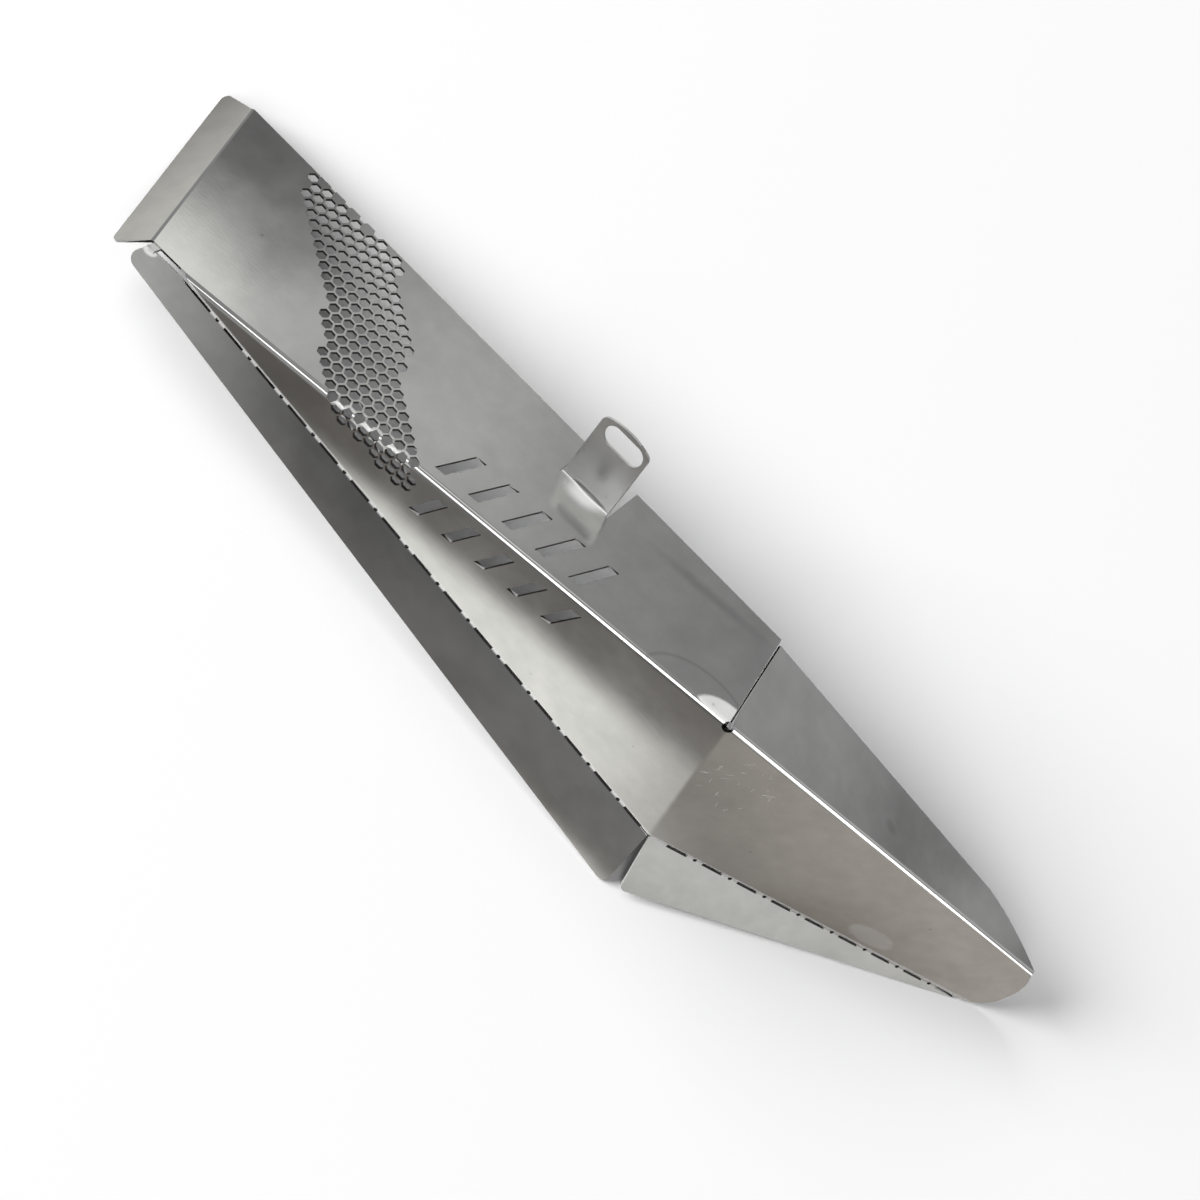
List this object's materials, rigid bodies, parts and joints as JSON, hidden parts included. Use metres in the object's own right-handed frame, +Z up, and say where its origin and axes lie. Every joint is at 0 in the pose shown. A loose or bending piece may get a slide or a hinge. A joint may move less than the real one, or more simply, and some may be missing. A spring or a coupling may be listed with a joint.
{
  "type": "exhaust heat shield",
  "caption": "Folded stainless exhaust heat shield with a honeycomb vent field, perforated fold lines, a slotted fixing tab and a tapering nose.",
  "frame": {"origin": "centre of the bounding box at the floor the shield rests on", "axes": "+X along the shield from the end flap to the nose, +Z up, with the top panels up and the side panel facing -Y"},
  "size_m": [0.3966, 0.0866, 0.0891],
  "materials": {
    "stainless_sheet": "satin mill finish with fine scratches"
  },
  "bodies": {
    "root": {"heat_shield": "stainless_sheet"}
  },
  "joints": []
}
